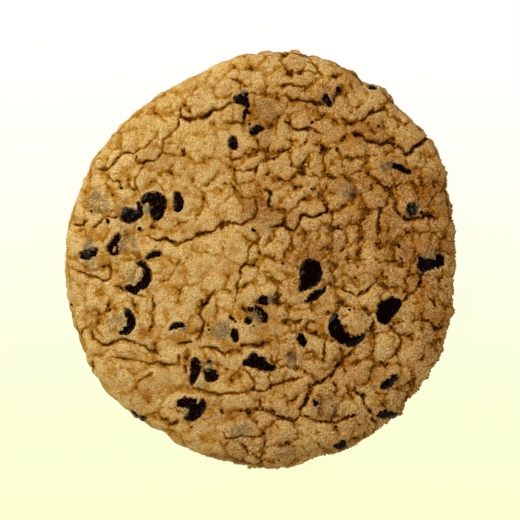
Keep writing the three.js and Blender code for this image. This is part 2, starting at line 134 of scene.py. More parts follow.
# Fissures: depth, half width, then the points that each one runs through.
FISSURES = [
    (1.7, 0.6, [(-28, 5.5), (-25, 5.2), (-23.5, 5.2), (-22, 4), (-20, 4.1), (-17.5, 5.2), (-12, 7.1),
        (-8, 9.2), (-4.2, 9), (-2, 9.8), (-0.8, 11.5), (-0.9, 14)]),
    (0.9, 0.5, [(0.9, 6.5), (-1.5, 3.5), (-3, 2), (-2.9, 0), (-4.3, -1.8), (-5.3, -4.2), (-5.5, -7),
        (-6.5, -11.5)]),
    (1.5, 0.55, [(-11.3, -7.5), (-14.2, -11.5), (-14.6, -14), (-14.2, -16), (-15.5, -20)]),
    (1.5, 0.5, [(2.5, 8.3), (5.5, 8.2), (8, 7.3), (9.5, 8.6), (10.2, 11), (12, 10.6), (16.5, 11.5),
        (16.2, 14)]),
    (2.1, 0.75, [(42, 30.5), (39.5, 28.8), (38, 27.3), (36.5, 26.8), (33.5, 29.2), (30.5, 29),
        (28, 29.3), (24, 31), (23.3, 31.5)]),
    (1.3, 0.6, [(20.3, 34.9), (22.5, 33.9), (25, 34.4), (28.3, 37), (31.5, 37.5)]),
    (1.5, 0.7, [(6.5, 41), (8, 40.1), (12.5, 39.2), (17.5, 38.5), (18.8, 40.2), (21, 44)]),
    (1, 0.45, [(-7.4, 45.3), (-4, 43.9), (-2.9, 43)]),
    (1, 0.5, [(5, 43.2), (8, 43.5), (11, 43.3)]),
    (1.7, 0.7, [(-20.3, 37), (-19.8, 35.3), (-15, 34.9), (-13.3, 35.8), (-11.5, 37.2), (-8, 38.3),
        (-6.5, 39)]),
    (1.1, 0.45, [(-20.3, 35), (-20.3, 33), (-23.8, 30), (-24.5, 28), (-24.3, 26.8), (-21, 26),
        (-19.5, 26), (-18.5, 27.8)]),
    (1.6, 0.5, [(-24.2, 26.6), (-25.8, 25), (-29.2, 24), (-30.7, 25), (-31, 26)]),
    (1.4, 0.55, [(-31.5, 26.5), (-34.3, 26.6), (-36.5, 24), (-37.8, 22.8), (-40.5, 22.6)]),
    (1, 0.45, [(-31.5, 26.8), (-29, 27.8), (-26, 30.7), (-25.3, 31.5)]),
    (1.2, 0.4, [(-37.6, 21), (-36.5, 19.8), (-35.3, 19.2), (-34.6, 18)]),
    (0.9, 0.45, [(-29.3, 23), (-30.3, 21.5), (-31, 19), (-30.8, 17.5)]),
    (1.2, 0.5, [(-46.5, 9.3), (-44.5, 8.4), (-43, 9.5)]),
    (1.2, 0.5, [(-42, 8.2), (-38.8, 10), (-35.5, 11)]),
    (1.3, 0.5, [(-47, -2), (-45.5, -3), (-43.5, -4.2), (-41, -4.2), (-38.5, -5.4), (-37.3, -4.6),
        (-37.5, 0)]),
    (1.2, 0.5, [(-36.3, -6.5), (-32.5, -7.7), (-31.5, -8.5), (-30, -8.6), (-28.5, -9.3)]),
    (1.3, 0.5, [(-26.7, -9.5), (-26.3, -11.5), (-27, -13), (-26.5, -14.5), (-27.6, -18)]),
    (0.7, 0.4, [(-24.8, -6), (-23, -5.6), (-20, -1), (-19.5, 0.5)]),
    (1.4, 0.5, [(-42, -17.5), (-41.8, -20), (-38.5, -21.7), (-36, -20), (-33, -20), (-31.5, -20.7),
        (-28, -22.2), (-24.3, -24)]),
    (1.3, 0.5, [(-36.5, -24.3), (-33, -24.6), (-27, -26.2), (-25, -25.9), (-21, -26.4), (-19.8, -25.5),
        (-20.5, -24)]),
    (1.2, 0.5, [(-19, -26), (-18.3, -28.5), (-17, -31)]),
    (1.4, 0.6, [(-16.5, -32), (-12, -33.3), (-9.5, -33.5), (-4, -33.2), (-1.8, -32), (-1.3, -30.7),
        (-3.8, -27)]),
    (1.3, 0.45, [(-20, -21), (-17, -20.7)]),
    (1.2, 0.45, [(-15, -21.5), (-11.5, -22), (-9.7, -23), (-8.5, -24), (-8, -23.5), (-5.5, -22.3)]),
    (1.4, 0.5, [(-4.3, -21.4), (-0.5, -21.6), (1.5, -21)]),
    (1.5, 0.45, [(-9.7, -37.5), (-9.3, -38.8)]),
    (1.3, 0.5, [(-7, -37.5), (-2, -37.2), (1, -37.3), (5, -39.3), (8.3, -40.2), (10, -39.2)]),
    (0.9, 0.45, [(0, -36.8), (0.2, -35.3)]),
    (1.1, 0.5, [(-1.7, -32.4), (1, -32.6), (2.7, -31.6), (7, -30.2), (10.5, -29.2)]),
    (1.9, 0.8, [(23.5, -22.3), (21, -24.5), (18, -28.8), (14, -31), (12.5, -31.5), (12.5, -34),
        (11.3, -35.7), (10.2, -37), (10.3, -38.5)]),
    (1, 0.5, [(18, -30), (19.3, -31.5)]),
    (1.4, 0.6, [(10, -39), (13.3, -39.5), (15, -40.4), (17, -40.8), (20, -40.4), (22, -39.5),
        (24, -38.2)]),
    (2, 0.6, [(23.5, -32.5), (24.6, -33.6), (25.5, -33.9), (26.1, -35.8), (26.8, -37.3), (28.5, -38.6)]),
    (1.3, 0.6, [(28.2, -38.7), (28.2, -39.7), (29, -41.3)]),
    (1.2, 0.5, [(38, -15), (42, -15.5)]),
    (1.8, 0.5, [(42, -15.5), (44, -17.2), (46, -16.8)]),
    (0.7, 0.35, [(42.5, -9), (43.5, -10.5), (44, -11.8)]),
    (1.3, 0.5, [(35, -10.6), (36.3, -9.8), (36.8, -8.5), (38.7, -8), (39.9, -6.5), (40.5, -3.5),
        (39.5, -3)]),
    (1, 0.45, [(32.2, -16.5), (34.3, -18.5), (35, -20), (35, -22), (34, -23.3), (31, -25)]),
    (0.8, 0.4, [(34.3, -18.5), (36.8, -18)]),
    (0.7, 0.7, [(21.2, 8), (21.5, 5), (20.5, 2.5), (19.5, 0), (17.8, -3)]),
    (0.8, 0.4, [(20, 13), (22, 13.5), (23.3, 13.8)]),
    (1.4, 0.6, [(27.5, 20.8), (29.2, 19.8), (30.5, 18.3), (32, 17.8), (33.5, 14.8), (34, 12.5),
        (35.5, 10.5)]),
    (1.7, 0.6, [(35.5, 11), (37, 10), (39, 10.3), (41.5, 11.2), (44.5, 10.3)]),
    (1.1, 0.45, [(29.5, 13), (29.7, 10), (29.5, 7), (29.9, 4)]),
    (1.1, 0.45, [(6.3, 34.2), (7.5, 33.3), (9, 32.3), (11, 32.1), (13, 32.5), (15, 31.5)]),
    (1.1, 0.45, [(7.5, 27.9), (5, 26.8), (3.3, 25.2), (0, 24)]),
    (0.9, 0.4, [(2.7, 28.5), (0.4, 24.5), (-0.2, 23), (-1.3, 21.3)]),
    (0.7, 0.4, [(12, 25.2), (10.7, 23.8), (10.9, 22)]),
    (0.8, 0.4, [(-8.5, 25), (-5, 25.2), (-3.6, 26.7), (-2.3, 25.7), (-0.9, 25.8)]),
    (0.7, 0.4, [(-6.2, 22.2), (-4, 22), (-1, 22.4)]),
    (0.9, 0.4, [(-9.5, 19), (-7, 18.5), (-5.4, 16), (-2.8, 14.8)]),
    (0.7, 0.4, [(-13.8, 16.2), (-14, 14.5), (-16.5, 9)]),
    (1.5, 0.4, [(0.5, 17.8), (2.8, 16.2), (2.6, 15), (2.1, 13.8)]),
    (1, 0.45, [(5.2, -15.2), (7, -14.8), (9, -15.8), (10.5, -15)]),
    (0.8, 0.45, [(16.2, -18), (16.3, -21), (16, -23.5), (16.4, -25.3)]),
    (0.9, 0.45, [(20, -7.5), (22.5, -8), (24.5, -9.5), (25.2, -8.5), (28.8, -5.5)]),
    (0.7, 0.4, [(-22, 7.5), (-20, 9), (-17.8, 10)]),
    (0.9, 0.45, [(-31.5, -32.5), (-30, -30.2), (-28, -29), (-26.5, -28)]),
    (1.4, 0.5, [(-23, -42), (-21.5, -41.2), (-20.5, -40)]),
    (1, 0.45, [(-10, -43), (-8, -44.5), (-3, -44.2), (1.5, -44)]),
    (1.2, 0.5, [(-3, 37.5), (-4.2, 35.5), (-3.9, 34.3), (-6, 34.3), (-9, 33.8)]),
]

# Chips just under the skin, which only tint it, and fainter grey patches of painted shade over hollows:
# x, y, radius, strength.
BURIED_CHIPS_AND_SHADE = [
    (-40.5, 14, 3.8, 0.8), (16.5, -36.4, 4.4, 0.56), (-4.6, -42.6, 4.2, 0.68),
    (21.5, 17, 2.9, 0.7), (8.6, -25, 2.8, 0.7), (7, -48, 2.6, 0.6), (-42.5, 3.6, 2.2, 0.8),
    (-42, -1.4, 3, 0.6), (-9.6, -17.6, 3.1, 1), (-1, -14.2, 2.6, 0.75), (-31.3, -4, 3.2, 0.62),
    (-35.6, -15.2, 3, 0.68), (-28.4, 12.4, 1.8, 0.8), (-33, 4, 3.4, 0.7), (31.3, 23.1, 2.1, 1),
    (2.4, -10, 1.7, 0.75), (42, 2, 1.8, 0.7), (-13, -26.2, 2.2, 0.8), (-18.4, -37.6, 1.7, 0.7),
    (-18.6, -17.4, 1.4, 0.7), (29.5, 33, 1.8, 0.5), (-1.5, -22.8, 1.2, 0.5),
    (38.3, 12.9, 2.2, 0.65), (16.3, 41.2, 1.4, 0.5), (-4.6, 41.8, 1.5, 0.7),
    (-2.8, 32.8, 1.5, 0.7), (9.5, -9, 1.6, 0.4), (1.5, 37.5, 4.5, 0.5), (1.5, 31, 3.5, 0.45),
    (17, 40.5, 4, 0.4), (16, 3, 9, 0.32), (0, 10, 6, 0.4), (-12, -38, 6, 0.35),
    (-16, -31, 5, 0.4), (-32, 10, 6, 0.4), (-33, -15, 7, 0.32), (-33, -22, 5, 0.3),
]

# Small dark flecks of chocolate in the dough: x, y, radius.
FLECKS = [
    (12.8, 34.1, 0.55), (19.1, 27.6, 0.35), (19.1, 27, 0.35), (-1.9, 7.4, 0.4), (-1.4, 7.1, 0.4),
    (29.5, 33.2, 0.4), (-37.8, 9.6, 0.6), (-34.5, 17.8, 0.45), (-29.9, 7.7, 0.5), (12.8, 17.5, 0.4),
    (43.2, 18.2, 0.45), (34.5, 3.3, 0.45), (35.1, 0.2, 0.4), (35.4, -0.6, 0.35), (5.7, -1, 0.4),
    (16.9, -13, 0.4), (22.2, -12.4, 0.45), (22.6, -11.7, 0.3), (4.7, -50, 0.35), (18.9, -41.6, 0.4),
    (19.2, 42.4, 0.65), (2.2, 13.4, 0.55), (-42, 12, 0.4), (-47, -11.2, 0.4), (-7.4, -14.4, 0.45),
    (-6.7, -14.7, 0.45), (-6.1, -15.3, 0.4), (-12.9, -16.4, 0.3), (-12.7, -17.4, 0.35),
    (-12.7, -25.3, 0.55), (-11.6, -30.3, 0.3), (-0.5, 29.1, 0.35), (-2.3, -12.2, 0.8),
    (-1.6, -16.4, 0.35), (-2.6, -15.2, 0.7), (-3.5, 36.8, 0.65), (-3.8, 35.5, 0.5), (-2.6, 33.6, 0.4),
    (-37.4, -12.5, 0.4), (17.9, -36.4, 0.3), (-30.2, 13.8, 0.45), (-29.7, 12.9, 0.8),
    (-29.5, 11.8, 0.75), (-30.2, 14.3, 0.3), (12.2, -34.6, 0.4), (11.3, -35.6, 0.35),
    (39.3, 10.6, 0.4), (37.5, 10.9, 0.5), (40.2, 11.6, 0.5), (-4.2, 35.4, 0.4), (-2.9, 36.5, 0.4),
    (-36.4, 1.6, 0.4), (3.6, -8.7, 0.25), (42.6, 10.9, 0.35), (-31.2, -20.8, 0.3),
]

# Bits of dough that lie over a chip: both ends, half width, rise.
DOUGH_BITS = [
    ((-28.4, 12.3), (-27.9, 13.4), 0.75, 0.35), ((-19.2, -38.4), (-18.4, -37.6), 0.8, 0.35),
    ((-15.7, -36.9), (-15.2, -35.2), 0.35, 0.4), ((-36.4, 2.2), (-36.2, 2.8), 0.5, 0.3),
    ((21.6, -14.2), (25.2, -15.4), 2.3, 0.9), ((22.6, -16.6), (23.8, -17.6), 1.3, 0.7),
    ((41.4, 1.4), (42.6, 1.2), 1.15, 0.6), ((14.5, -6.6), (12.2, -7.9), 0.5, 0.4),
    ((-32.4, -3.2), (-31.7, -3.8), 2.8, 0.3), ((-35.6, -15), (-35.2, -15.6), 2.15, 0.25),
]

# Places that stayed smooth and pale: x, y, radius, strength.
SMOOTH = [
    (-12, 0, 8, 0.9), (-6, 8, 5, 0.8), (-13, 12, 5, 0.8), (-9, 27, 6, 0.9), (-18, 30, 5, 0.7),
    (-30, 30, 7, 0.6), (-22, -12, 6, 0.6), (2, 3, 4, 0.6), (25, -12, 6, 1.2), (15, -11, 6, 0.9),
    (12, -4, 3, 0.4), (38, -25, 6, 1.3), (31.5, -21.5, 5, 1.2), (-37, -36, 7, 1.2),
    (-24, -33, 5, 0.6), (12, -47, 7, 1.8), (-12, 48, 7, 1.3), (2, 47, 6, 0.8), (14, 48, 6, 1.1),
    (28, 42, 6, 1.1), (37, 33, 6, 1), (41, 24, 5, 0.7), (-40.5, 14, 4, 0.6), (-13, -48, 7, 0.9),
    (26, -35, 6, 1), (38, -12, 5, 0.8), (-47, 4, 4, 1), (-47, -9, 5, 1), (-43, 20, 3, 0.5),
    (0, -24, 5, 0.7), (26, 1, 4, 0.7), (25, 25, 5, 0.8), (13, 12, 4, 0.6), (46, -3, 4, 0.8),
    (-7, -13, 4, 1), (0, -5, 4, 0.9), (15, -20, 5, 0.9), (9, 30, 6, 0.7), (-16, 18, 5, 0.7),
    (8, -30, 5, 0.8), (16, -47, 5, 0.6),
]

# Places toasted a deeper orange: x, y, radius, strength.
TOASTED = [
    (28, 8.5, 2.5, 0.7), (-29, -18.5, 1.6, 0.8), (22, -5, 2, 0.7), (8, -3, 2.2, 0.7),
    (-28, -34, 2.5, 0.4), (-25, -38, 2.5, 0.4), (-43, 22, 2.5, 0.4), (-34, 14, 1.6, 0.6),
    (-25, 25, 6, 0.4), (37, 12, 6, 0.65), (27, -47, 4, 0.8), (33, -39, 3, 0.6),
    (-42, -13, 2.5, 0.5), (41, 18, 6, 1.2), (10, 49.3, 3, 0.5), (36, 10.5, 2.5, 0.5),
    (29, -39.5, 2, 0.9), (18.5, 1, 3, 0.5), (42, 10, 4, 0.4), (28, 31, 5, 0.4),
    (39, -37, 6, 1.1), (1, 38, 7, 0.75), (15, 42, 5, 0.9), (13, 31, 8, 0.5), (26, 30, 8, 0.9),
    (0, 12, 6, 0.9), (14, 14, 8, 0.65), (12, 0, 8, 0.95), (27, 7, 8, 0.7), (37, 0, 8, 0.75),
    (0, -37, 8, 0.45), (-8, 26, 5, 0.7), (14, -25, 7, 0.5), (40, -7, 6, 1), (26, -38, 6, 0.8),
    (37, 20, 8, 0.9), (25, 22, 7, 0.9), (44, 12, 5, 0.9), (24, -47, 5, 1), (46, 4, 4, 0.8),
    (41, -22, 5, 1.1), (8, -46, 5, 0.9), (25, -31, 5, 0.9), (9, -7, 4, 0.8), (-7, -49, 5, 0.7),
    (-12, -38, 7, 0.4), (-37, 0, 7, 0.3),
]


# ---- Noise and cells ----

def noise(x, y, size, seed):
    """Smooth noise from about -1 to 1, with features of that size."""
    turns = np.random.default_rng(seed).uniform(0, TAU, (NOISE_TABLE, NOISE_TABLE))
    u = x / size + NOISE_SHIFT[0]
    v = y / size + NOISE_SHIFT[1]
    i = np.floor(u).astype(int)
    j = np.floor(v).astype(int)
    fu = u - i
    fv = v - j
    su, sv = (f * f * f * (f * (6 * f - 15) + 10) for f in (fu, fv))
    total = 0
    for di in (0, 1):
        for dj in (0, 1):
            turn = turns[(i + di) % NOISE_TABLE, (j + dj) % NOISE_TABLE]
            slope = np.cos(turn) * (fu - di) + np.sin(turn) * (fv - dj)
            weight = (su if di else 1 - su) * (sv if dj else 1 - sv)
            total = total + weight * slope
    return 1.6 * total


def cells(x, y, size, seed):
    """Each point's cell: distance to its centre, distance to its border, and its draw.

    The distance to a border is positive on one side of it and negative on the other.
    """
    rng = np.random.default_rng(seed)
    shift = rng.uniform(0.08, 0.92, (CELL_TABLE, CELL_TABLE, 2))
    draws = rng.uniform(0, 1, (CELL_TABLE, CELL_TABLE))
    i = np.floor(x / size).astype(int)
    j = np.floor(y / size).astype(int)
    near = np.full(x.shape, FAR)
    near_x = np.zeros_like(x)
    near_y = np.zeros_like(x)
    draw = np.zeros_like(x)
    centres = []
    for di, dj in NEIGHBOURS:
        a = (i + di) % CELL_TABLE
        b = (j + dj) % CELL_TABLE
        cx = (i + di + shift[a, b, 0]) * size
        cy = (j + dj + shift[a, b, 1]) * size
        centres.append((cx, cy, draws[a, b]))
        away = np.hypot(x - cx, y - cy)
        closer = away < near
        near = np.where(closer, away, near)
        near_x = np.where(closer, cx, near_x)
        near_y = np.where(closer, cy, near_y)
        draw = np.where(closer, draws[a, b], draw)
    border = np.full(x.shape, FAR)
    beyond = np.zeros_like(x)
    for cx, cy, other_draw in centres:
        gap = np.hypot(cx - near_x, cy - near_y)
        other = gap > 1e-6
        gap = np.where(other, gap, 1)
        along = ((cx + near_x) / 2 - x) * (cx - near_x) + ((cy + near_y) / 2 - y) * (cy - near_y)
        closer = other & (along / gap < border)
        border = np.where(closer, along / gap, border)
        beyond = np.where(closer, other_draw, beyond)
    return near, border * np.sign(draw - beyond), draw


def bell(distance, width):
    return np.exp(-(distance / width) ** 2)


def ramp(value, low, high):
    """0 below low, 1 above high, smooth between."""
    t = np.clip((value - low) / (high - low), 0, 1)
    return t * t * (3 - 2 * t)


# ---- Plan shapes ----

def segment_distance(x, y, start, end):
    """Distance to a segment, how far along it the nearest point is, and the side: 1 or -1."""
    dx = end[0] - start[0]
    dy = end[1] - start[1]
    along = ((x - start[0]) * dx + (y - start[1]) * dy) / (dx * dx + dy * dy)
    along = np.clip(along, 0, 1)
    side = np.where(dx * (y - start[1]) > dy * (x - start[0]), 1, -1)
    return np.hypot(x - start[0] - along * dx, y - start[1] - along * dy), along, side


def outline_distance(x, y, outline):
    """Distance to a closed outline, negative inside it."""
    distance = np.full(x.shape, FAR)
    inside = np.zeros(x.shape, bool)
    for a, b in zip(outline, np.roll(outline, -1, axis=0)):
        distance = np.minimum(distance, segment_distance(x, y, a, b)[0])
        rise = b[1] - a[1]
        if rise:
            crossing = a[0] + (y - a[1]) / rise * (b[0] - a[0])
            inside ^= ((a[1] > y) != (b[1] > y)) & (x < crossing)
    return np.where(inside, -distance, distance)


def rounded(outline):
    """The outline with its corners cut twice, which leaves a smooth curve."""
    for _ in range(2):
        after = np.roll(outline, -1, axis=0)
        outline = np.stack([0.75 * outline + 0.25 * after, 0.25 * outline + 0.75 * after], 1)
        outline = outline.reshape(-1, 2)
    return outline


def grown(outline, distance):
    """The outline moved outwards by a distance."""
    along = np.roll(outline, -1, axis=0) - np.roll(outline, 1, axis=0)
    along /= np.linalg.norm(along, axis=1)[:, None]
    return outline + distance * np.stack([along[:, 1], -along[:, 0]], 1)


def bared(outline):
    """The outline of what shows of a chip through the dough."""
    return grown(rounded(outline), BARED_GROWTH)


def signed_area(outline):
    after = np.roll(outline, -1, axis=0)
    return 0.5 * np.sum(outline[:, 0] * after[:, 1] - outline[:, 1] * after[:, 0])


# ---- The solids ----

def node_points(name):
    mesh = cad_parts[name].data
    points = np.empty(3 * len(mesh.vertices))
    mesh.vertices.foreach_get("co", points)
    return points.reshape(-1, 3) / MM


def read_rim():
    """Directions and radii of the dough's widest line, sorted by direction."""
    points = node_points("dough")
    points = points[np.abs(points[:, 2] - WIDEST_HEIGHT) < 0.01]
    turns = np.arctan2(points[:, 1], points[:, 0]) % TAU
    order = np.argsort(turns)
    return turns[order], np.hypot(points[:, 0], points[:, 1])[order]


def chip_outline(name):
    """A chip's outline seen from above, from the upright walls of its solid."""
    points = node_points(name)
    steps = {}
    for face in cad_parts[name].data.polygons:
        if abs(face.normal.z) > 0.01:
            continue
        ends = {tuple(np.round(points[i, :2], 2)) for i in face.vertices}
        if len(ends) == 2:
            first, second = ends
            steps.setdefault(first, set()).add(second)
            steps.setdefault(second, set()).add(first)
    walk = [min(steps)]
    while True:
        onward = [step for step in sorted(steps[walk[-1]]) if step not in walk]
        if not onward:
            break
        walk.append(onward[0])
    outline = np.array(walk)
    return outline if signed_area(outline) > 0 else outline[::-1]


RIM_TURNS, RIM_RADII = read_rim()
CHIP_NODES = sorted(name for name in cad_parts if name.startswith("chip_"))
CHIP_OUTLINES = {name: chip_outline(name) for name in CHIP_NODES}


# ---- The dough's form ----

def rim_radius(turn):
    return np.interp(turn % TAU, RIM_TURNS, RIM_RADII, period=TAU)


def roll_over(share):
    """How much of the height is left at a share of the way out to the rim."""
    return np.maximum(0, 1 - share ** SIDE_SHARPNESS) ** SIDE_FALL


def rim_share(x, y):
    return np.minimum(1, np.hypot(x, y) / rim_radius(np.arctan2(y, x)))


def smooth_height(x, y):
    """Height of the top before it cracked."""
    share = rim_share(x, y)
    height = CENTRE_HEIGHT + (SHOULDER_HEIGHT - CENTRE_HEIGHT) * share ** 2
    for swell_x, swell_y, radius, rise in SWELLS:
        height = height + rise * bell(np.hypot(x - swell_x, y - swell_y), radius)
    return WIDEST_HEIGHT + (height - WIDEST_HEIGHT) * roll_over(share)


def even_shares(steps):
    """Shares of the way out at equal steps along the section, and the section's length."""
    share = np.linspace(0, 1, SECTION_STEPS + 1)
    fall = (SHOULDER_HEIGHT - WIDEST_HEIGHT) * roll_over(share)
    travel = np.hypot(np.diff(share) * RIM_RADII.mean(), np.diff(fall))
    length = np.concatenate([[0], np.cumsum(travel)])
    return np.interp(np.linspace(0, length[-1], steps + 1), length, share), length[-1]


def folded_grid(count):
    """A square grid folded onto the round: ring number and direction of each point."""
    line = np.arange(-count // 2, count // 2 + 1)
    u, v = np.meshgrid(line, line, indexing="xy")
    wide = np.abs(u) >= np.abs(v)
    ring = np.maximum(np.abs(u), np.abs(v))
    safe_u = np.where(u == 0, 1, u)
    safe_v = np.where(v == 0, 1, v)
    turn = np.where(wide, v / safe_u * np.pi / 4, np.pi / 2 - u / safe_v * np.pi / 4)
    turn = turn + np.where(np.where(wide, u < 0, v < 0), np.pi, 0)
    return ring.ravel(), turn.ravel()


def grid_triangles(count, points):
    """Triangles of a grid, each cell split along its shorter diagonal, facing up."""
    index = np.arange((count + 1) ** 2).reshape(count + 1, count + 1)
    a, b, c, d = (index[i:i + count, j:j + count].ravel() for i, j in ((0, 0), (0, 1), (1, 1), (1, 0)))
    rising = np.linalg.norm(points[a] - points[c], axis=1)
    falling = np.linalg.norm(points[b] - points[d], axis=1)
    split = (rising < falling)[:, None]
    first = np.where(split, np.stack([a, b, c], 1), np.stack([a, b, d], 1))
    second = np.where(split, np.stack([a, c, d], 1), np.stack([b, c, d], 1))
    return np.concatenate([first, second])


def grid_border(count):
    """A grid's outer points, counter-clockwise seen from above."""
    index = np.arange((count + 1) ** 2).reshape(count + 1, count + 1)
    sides = [index[0, :-1], index[:-1, -1], index[-1, :0:-1], index[:0:-1, 0]]
    return np.concatenate(sides)


def band_triangles(upper, lower):
    """The triangles between two loops of the same length, facing out."""
    lower_after, upper_after = np.roll(lower, -1), np.roll(upper, -1)
    return np.concatenate([np.stack([lower, lower_after, upper_after], 1),
                           np.stack([lower, upper_after, upper], 1)])


def stitch(fine, coarse):
    """Triangles between a fine loop and a coarse one inside it, facing down."""
    step = len(fine) // len(coarse)
    triangles = []
    for k, corner in enumerate(coarse):
        after = coarse[(k + 1) % len(coarse)]
        fan = [fine[(k * step + i) % len(fine)] for i in range(step + 1)]
        half = step // 2
        triangles += [(corner, b, a) for a, b in zip(fan[:half], fan[1:half + 1])]
        triangles.append((corner, after, fan[half]))
        triangles += [(after, b, a) for a, b in zip(fan[half:-1], fan[half + 1:])]
    return triangles


def polar(radius, turn):
    return np.stack([radius * np.cos(turn), radius * np.sin(turn)], 1)


def dough_skin():
    """Points, faces and unrolled places of the smooth dough."""
    shares, length = even_shares(TOP_CELLS // 2)
    ring, turn = folded_grid(TOP_CELLS)
    radius = shares[ring] * rim_radius(turn)
    x, y = radius * np.cos(turn), radius * np.sin(turn)
    points = [np.stack([x, y, smooth_height(x, y)], 1)]
    places = [polar(ring / (TOP_CELLS / 2) * length, turn)]
    faces = [grid_triangles(TOP_CELLS, points[0])]
    upper = grid_border(TOP_CELLS)
    points[0][upper, 2] = WIDEST_HEIGHT
    rim_turn = turn[upper]
    total = len(points[0])
    for k in range(1, FOOT_RINGS + 1):
        bend = k / FOOT_RINGS * np.pi / 2
        radius = rim_radius(rim_turn) - FOOT_INSET * (1 - np.cos(bend))
        height = np.full(radius.shape, WIDEST_HEIGHT * (1 - np.sin(bend)))
        points.append(np.column_stack([polar(radius, rim_turn), height]))
        places.append(polar(length + k * FOOT_STEP, rim_turn))
        lower = total + np.arange(len(upper))
        faces.append(band_triangles(upper, lower))
        upper = lower
        total += len(upper)
    ring, turn = folded_grid(UNDER_CELLS)
    radius = ring / (UNDER_CELLS / 2) * (rim_radius(turn) - UNDER_INSET)
    x, y = radius * np.cos(turn), radius * np.sin(turn)
    points.append(np.stack([x, y, np.zeros_like(x)], 1))
    places.append(np.stack([x, y], 1))
    faces.append(total + grid_triangles(UNDER_CELLS, points[-1])[:, ::-1])
    faces.append(np.array(stitch(upper, total + grid_border(UNDER_CELLS))))
    return np.concatenate(points), np.concatenate(faces), np.concatenate(places)


def point_normals(points, faces):
    normals = np.zeros_like(points)
    a, b, c = (points[faces[:, k]] for k in range(3))
    facing = np.cross(b - a, c - a)
    for k in range(3):
        np.add.at(normals, faces[:, k], facing)
    return normals / np.linalg.norm(normals, axis=1)[:, None]


def fissure_relief(x, y):
    """How deep the fissures cut, how far their edges slump, and the cracks along their beds."""
    warp_x = x + 0.6 * noise(x, y, 2.6, 11) + 0.2 * noise(x, y, 0.9, 12)
    warp_y = y + 0.6 * noise(x, y, 2.6, 13) + 0.2 * noise(x, y, 0.9, 14)
    uneven = 0.5 + 0.65 * ramp(noise(x, y, 3.2, 15), -0.6, 0.6)
    uneven = uneven * (0.78 + 0.42 * ramp(x, -30, 25))
    bed = np.zeros_like(x)
    slump = np.zeros_like(x)
    gap = np.full(x.shape, NO_FISSURE)
    strength = np.zeros_like(x)
    for depth, width, line in FISSURES:
        away = np.full(x.shape, FAR)
        side = np.ones_like(x)
        for k, (a, b) in enumerate(zip(line, line[1:])):
            distance, along, hand = segment_distance(warp_x, warp_y, a, b)
            run = (k + along) / (len(line) - 1)
            distance = distance + 0.5 * width * (1 - ramp(np.minimum(run, 1 - run), 0, 0.12))
            side = np.where(distance < away, hand, side)
            away = np.minimum(away, distance)
        bed = np.maximum(bed, depth * uneven * bell(away, 0.75 * width))
        slump = np.maximum(slump, depth * np.exp(-away / SLUMP_REACH))
        closer = away < np.abs(gap)
        gap = np.where(closer, away * side, gap)
        strength = np.where(closer, depth * uneven * (away < CRACK_REACH), strength)
    return bed, slump, gap, strength


def plates(u, v, size, seed, dome, step):
    """Plates of about that size, parted by creases: their height, and the creases' course."""
    warp_u = u + size * (0.05 * noise(u, v, 0.35 * size, seed) + 0.1 * noise(u, v, size, seed + 1))
    warp_v = v + size * (0.05 * noise(u, v, 0.35 * size, seed + 2) + 0.1 * noise(u, v, size, seed + 3))
    near, gap, draw = cells(warp_u, warp_v, size, seed + 4)
    parted = ramp(noise(u, v, 1.3 * size, seed + 5), -0.9, 0.3)
    border = np.abs(gap)
    groove = 0.7 * np.maximum(0, 1 - border / (0.32 * size)) ** 2 + 0.15 * np.exp(-border / 0.4)
    height = dome * (1 - 1.4 * (near / size) ** 2) - (0.3 + 0.7 * parted) * groove
    height = height + step * (draw - 0.5) * ramp(border, 0, 0.2 * size)
    return height, gap, parted * (border < CRACK_REACH)


def crust_relief(u, v):
    """Height of the plates, lumps and grain all over the crust, and the large plates' creases."""
    crumbly = np.clip(0.3 + 0.45 * noise(u, v, 8, 51) + 0.55 * ramp(u, -14, 12), 0.08, 1.2)
    drift_u = u + 1.2 * noise(u, v, 11, 59)
    drift_v = v + 1.2 * noise(u, v, 11, 60)
    stray_u = 0.55 * noise(u, v, 1.6, 54) + 0.2 * noise(u, v, 0.8, 61)
    stray_v = 0.55 * noise(u, v, 1.6, 56) + 0.2 * noise(u, v, 0.8, 62)
    large, large_gap, large_parted = plates(
        drift_u + stray_u, drift_v + stray_v, LARGE_PLATE, 100, 0.3, 0.45)
    rough_u = drift_u + 0.5 * stray_u
    rough_v = drift_v + 0.5 * stray_v
    small, small_gap, small_parted = plates(rough_u, rough_v, SMALL_PLATE, 200, 0.45, 0.25)
    tiny = plates(rough_u, rough_v, TINY_PLATE, 300, 0.7, 0.2)[0]
    height = (0.42 + 0.5 * crumbly) * large + 0.45 * crumbly * small + (0.02 + 0.11 * crumbly) * tiny
    height += (0.35 + 0.3 * crumbly) * noise(u, v, 4, 52) + 0.07 * noise(u, v, 1.05, 53)
    height += (0.06 + 0.1 * crumbly) * noise(u, v, 1.8, 58)
    use_small = (np.abs(small_gap) < np.abs(large_gap)) & (small_parted > 0)
    gap = np.where(use_small, small_gap, large_gap)
    return height, gap, np.where(use_small, 0.4 * small_parted, large_parted) * (0.3 + 0.5 * crumbly)


def buried_film_and_shade(x, y):
    """How strongly the chocolate just under the skin tints it, and how strongly the grey patches of
    painted shade cover it.
    """
    film_and_shade = np.zeros_like(x)
    for chip_x, chip_y, radius, strength in BURIED_CHIPS_AND_SHADE:
        away = np.hypot(x - chip_x, y - chip_y) + 0.5 * noise(x, y, 1.2, 42)
        film_and_shade = np.maximum(film_and_shade, strength * (1 - ramp(away, 0.4 * radius, 1.2 * radius)))
    return film_and_shade


